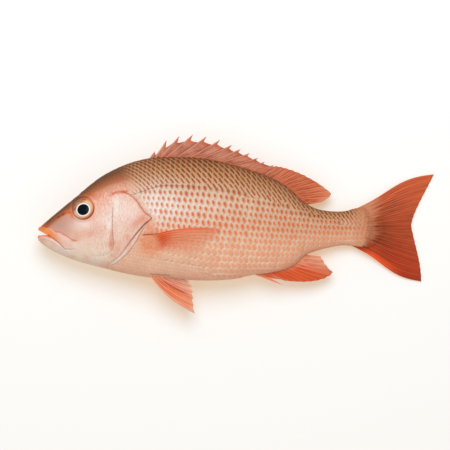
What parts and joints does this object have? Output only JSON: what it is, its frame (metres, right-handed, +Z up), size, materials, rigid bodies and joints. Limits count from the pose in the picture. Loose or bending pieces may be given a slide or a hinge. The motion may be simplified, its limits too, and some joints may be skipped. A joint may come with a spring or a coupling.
{
  "type": "whole raw fish",
  "caption": "Whole raw snapper-like sea fish lying on its side, with spread fins, gill covers, an open mouth and a pair of eyes in sockets.",
  "frame": {"origin": "middle of the object's box in X and Y, on the table that it lies on", "axes": "-X towards the mouth and +X towards the tail, +Y towards the back, +Z up out of the left flank"},
  "size_m": [0.3974, 0.1784, 0.0551],
  "materials": {
    "skin": "wet satin skin, brown on the back, pink on the head and belly",
    "scale": "thin wet scales, silvery pink with an orange-red spot each",
    "fin": "moist orange-red fin rays and membrane",
    "eye": "wet eye with a dark pupil in a pale iris"
  },
  "bodies": {
    "root": {"fish": "skin", "eye_left": "eye", "eye_right": "eye"}
  },
  "joints": []
}
